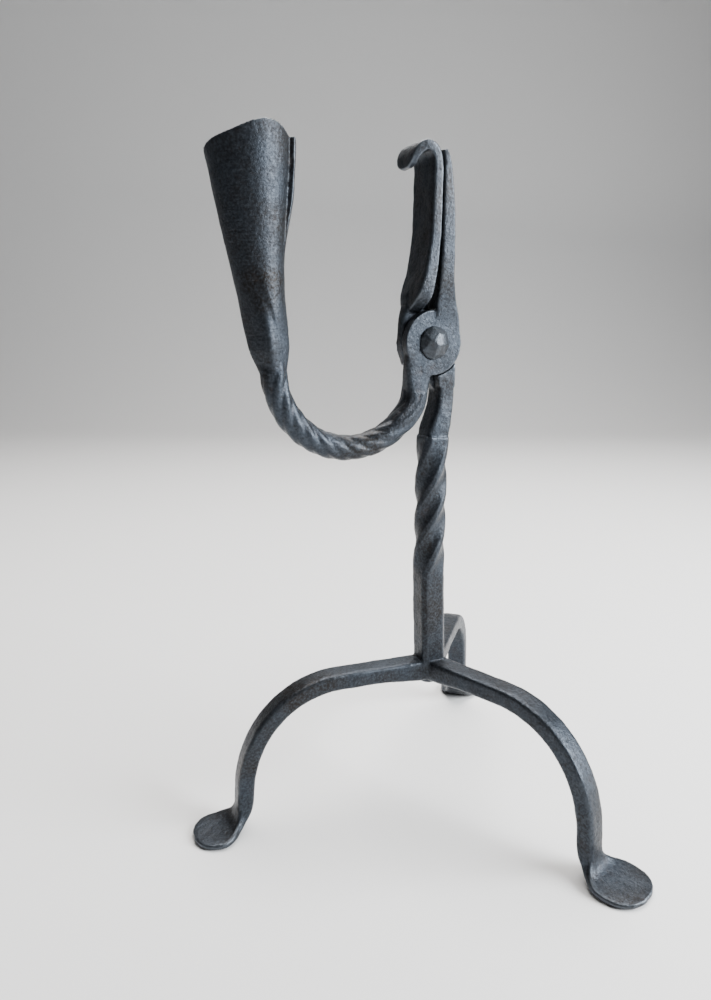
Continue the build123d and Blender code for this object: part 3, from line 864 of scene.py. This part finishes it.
def rimHeight(azimuth):
    # where a line up the cone's side meets the slanting mouth
    c = candleSocket
    lean, tilt = math.radians(c["mouthLean"]), math.radians(c["mouthTilt"])
    normal = Vector((-math.sin(lean), math.sin(tilt) * math.cos(lean), math.cos(tilt) * math.cos(lean)))
    base, axis = socketFrame()[:2]
    centre = base + axis * c["height"]
    low, high = c["rimBetween"]
    for _ in range(c["rimTries"]):
        middle = (low + high) / 2
        if (socketPoint(middle, azimuth, flareRadius(middle)) - centre).dot(normal) < 0:
            low = middle
        else:
            high = middle
    away = (azimuth - c["peakAt"] + 180) % 360 - 180
    drop, start, stop, fade, gone = c["leftDrop"] if away < 0 else c["rightDrop"]
    return low - drop * easeStep(start, stop, abs(away)) * (1 - easeStep(fade, gone, abs(away)))


def coneRadius(height, azimuth):
    # round at the mouth, and nearly square where it runs into the arm
    c = candleSocket
    angle = math.radians(azimuth - c["arrisAt"] + 45)
    power = c["arrisSharp"]
    square = (abs(math.cos(angle)) ** power + abs(math.sin(angle)) ** power) ** (-1 / power)
    share = c["arrisShare"] * (1 - easeStep(*c["arrisEnds"], height))
    f = cornerFold
    line = f["azimuth"] + f["drift"] * (f["top"] - height) / f["run"]
    past = (azimuth - line + 180) % 360 - 180
    fade = easeStep(*f["rises"], height) * (1 - easeStep(*f["falls"], height))
    fold = f["lift"] * easeStep(*f["edge"], past) * (1 - easeStep(*f["tail"], past)) * fade
    return flareRadius(height) * (1 + share * (square / c["arrisSwell"] - 1)) + fold


def socketSheet():
    c, s = candleSocket, rolledSheet
    start = c["floor"] - s["belowFloor"]
    rings = []
    for level in range(s["levels"] + 1):
        share = level / s["levels"]
        outer, inner = [], []
        for k in range(s["steps"] + 1):
            azimuth = c["seamAt"] + (360 + c["lap"]) * k / s["steps"]
            height = start + (rimHeight(azimuth) - start) * share
            loose = easeStep(*s["loosens"], height)
            lift = (c["proud"] + c["gap"]) * (1 - easeStep(*s["closes"], azimuth - c["seamAt"])) * loose
            sunk = s["sunk"] * (1 - easeStep(*s["surfaces"], height))
            radius = coneRadius(height, azimuth) + lift - sunk
            wall = c["wall"] * (s["footWall"] - s["thins"] * loose)
            outer.append(socketPoint(height, azimuth, radius))
            inner.append(socketPoint(height, azimuth, max(radius - wall, s["least"])))
        rings.append(outer + inner[::-1])
    return meshOf("rolledSheet", closedForm(rings))


def socketCore():
    # solid foot of the cone, up to its floor, growing out of the arm's bar
    s = solidFoot
    rings = []
    for k in range(s["rings"]):
        height = s["start"] + s["step"] * k
        slim = s["slim"] * easeStep(*s["slims"], height)
        growth = s["root"] + s["growth"] * easeStep(*s["grows"], height)
        rings.append([
            socketPoint(height, azimuth, coneRadius(height, azimuth) * growth - slim)
            for azimuth in range(0, 360, s["degrees"])
        ])
    return meshOf("socketCore", closedForm(rings))


def swanPath():
    # it starts inside the neck, and thickens towards the cone
    s = swanNeck
    x, z = s["top"]
    rows = [(x, 0, z, s["thin"])]
    turned = 0
    for radius, bend in s["bends"]:
        steps = max(4, int(bend / s["bendStep"]))
        a = math.radians(turned)
        for k in range(1, steps + 1):
            past = turned + bend * k / steps
            b = math.radians(past)
            share = s["thin"]
            for more, low, high in s["thicken"]:
                share += more * easeStep(low, high, past)
            rows.append((
                x + radius * (math.cos(b) - math.cos(a)), 0, z - radius * (math.sin(b) - math.sin(a)), share,
            ))
        x, z = rows[-1][0], rows[-1][2]
        turned += bend
    for height in s["inCone"]:
        rows.append((*socketPoint(height, 0, 0), s["inConeShare"]))
    return rows


def movingJawMeshes():
    jaw = movingJaw
    return [
        strapMesh("movingBlade", throughRows(jaw["blade"]), sideways, jaw["bladeSquare"]),
        strapMesh("armNeck", throughRows(armNeck["rows"]), sideways, armNeck["square"]),
        plateMesh("armCheek", roundOutline(jaw["cheekRadius"]), jaw["cheekFront"], jaw["cheekBack"]),
    ]


def makeArm():
    raw = [barMesh("swanBar", swanPath(), armBar, irons["arm"])]
    raw += [*movingJawMeshes(), socketSheet(), socketCore()]
    whole = weld("armIron", raw, armForging, irons["arm"])
    joint = place(candleSocket["base"])
    rise = Vector(socketCut["normal"])
    candleSide = place((socketCut["candleSide"], 0, 0))
    keepPiece(
        "forgedArm", whole, [(joint, rise, lambda centre: centre.x < candleSide.x)],
        "arm", "arm", irons["arm"],
    )
    keepPiece(
        "rolledSocket", whole,
        [(candleSide, Vector((1, 0, 0)), anywhere), (joint, -rise, anywhere)],
        "arm", "candle_socket", irons["socket"],
    )


makeArm()
print("arm and candle socket are forged")


rivet = {
    "shank": 2.7, "head": 5.8, "headRise": 3.4, "tail": 4.7, "tailRise": 2.0,
    "headSeat": -3.85, "tailSeat": 3.75, "sunk": 0.25,
    "crown": 0.5, "dome": 0.9, "skirt": 0.98, "steps": 9, "sides": 64,
    # hammered planes of the head: azimuth, tilt from its axis, distance from its seat
    "planes": [
        (60, 14, 3.1), (18, 42, 3.95), (72, 46, 4.05), (125, 40, 3.95), (178, 44, 4.1),
        (232, 41, 4.0), (285, 45, 4.1), (330, 40, 3.95),
        (25, 27, 3.4), (115, 28, 3.42), (205, 26, 3.45), (295, 28, 3.42),
    ],
}
rivetForging = {
    **forging, "voxel": 0.16, "soften": 36, "hammerDepth": 0.1, "hammerSize": 2.5,
    "grainDepth": 0.06, "grainSize": 0.8, "proudHeight": 0.05,
}


def rivetProfile():
    r = rivet
    steps = r["steps"]
    profile = [(r["headSeat"] - r["headRise"], r["crown"])]
    for k in range(1, steps + 1):
        angle = math.radians(90 * k / steps)
        profile.append((
            r["headSeat"] - r["headRise"] * math.cos(angle) ** r["dome"], r["head"] * math.sin(angle),
        ))
    profile += [
        (r["headSeat"] + r["sunk"], r["head"] * r["skirt"]),
        (r["headSeat"] + r["sunk"], r["shank"]), (r["tailSeat"] - r["sunk"], r["shank"]),
    ]
    for k in range(steps):
        angle = math.radians(90 * k / steps)
        profile.append((r["tailSeat"] + r["tailRise"] * math.sin(angle), r["tail"] * math.cos(angle)))
    return profile


def makeRivet():
    form = closedForm(turnedRings(
        rivetProfile(), rivet["sides"], lambda x, z, y: (pivot.x + x, y, pivot.z + z),
    ))
    for azimuth, tilt, distance in rivet["planes"]:
        a, t = math.radians(azimuth), math.radians(tilt)
        out = Vector((math.sin(t) * math.cos(a), -math.cos(t), math.sin(t) * math.sin(a)))
        spot = place((pivot.x, rivet["headSeat"], pivot.z)) + out * distance * mm
        bmesh.ops.bisect_plane(
            form, geom=form.verts[:] + form.edges[:] + form.faces[:], plane_co=spot, plane_no=out,
            dist=cutTolerance, clear_outer=True,
        )
        capRim(form, out)
    whole = weld("rivetIron", [meshOf("rivetBlank", form)], rivetForging, irons["rivet"])
    keepPiece("hammeredRivet", whole, [], "stand", "pivot_rivet", irons["rivet"])


makeRivet()
print("rivet is set")

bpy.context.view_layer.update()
for mesh in [m for m in bpy.data.meshes if m.users == 0]:
    bpy.data.meshes.remove(mesh)
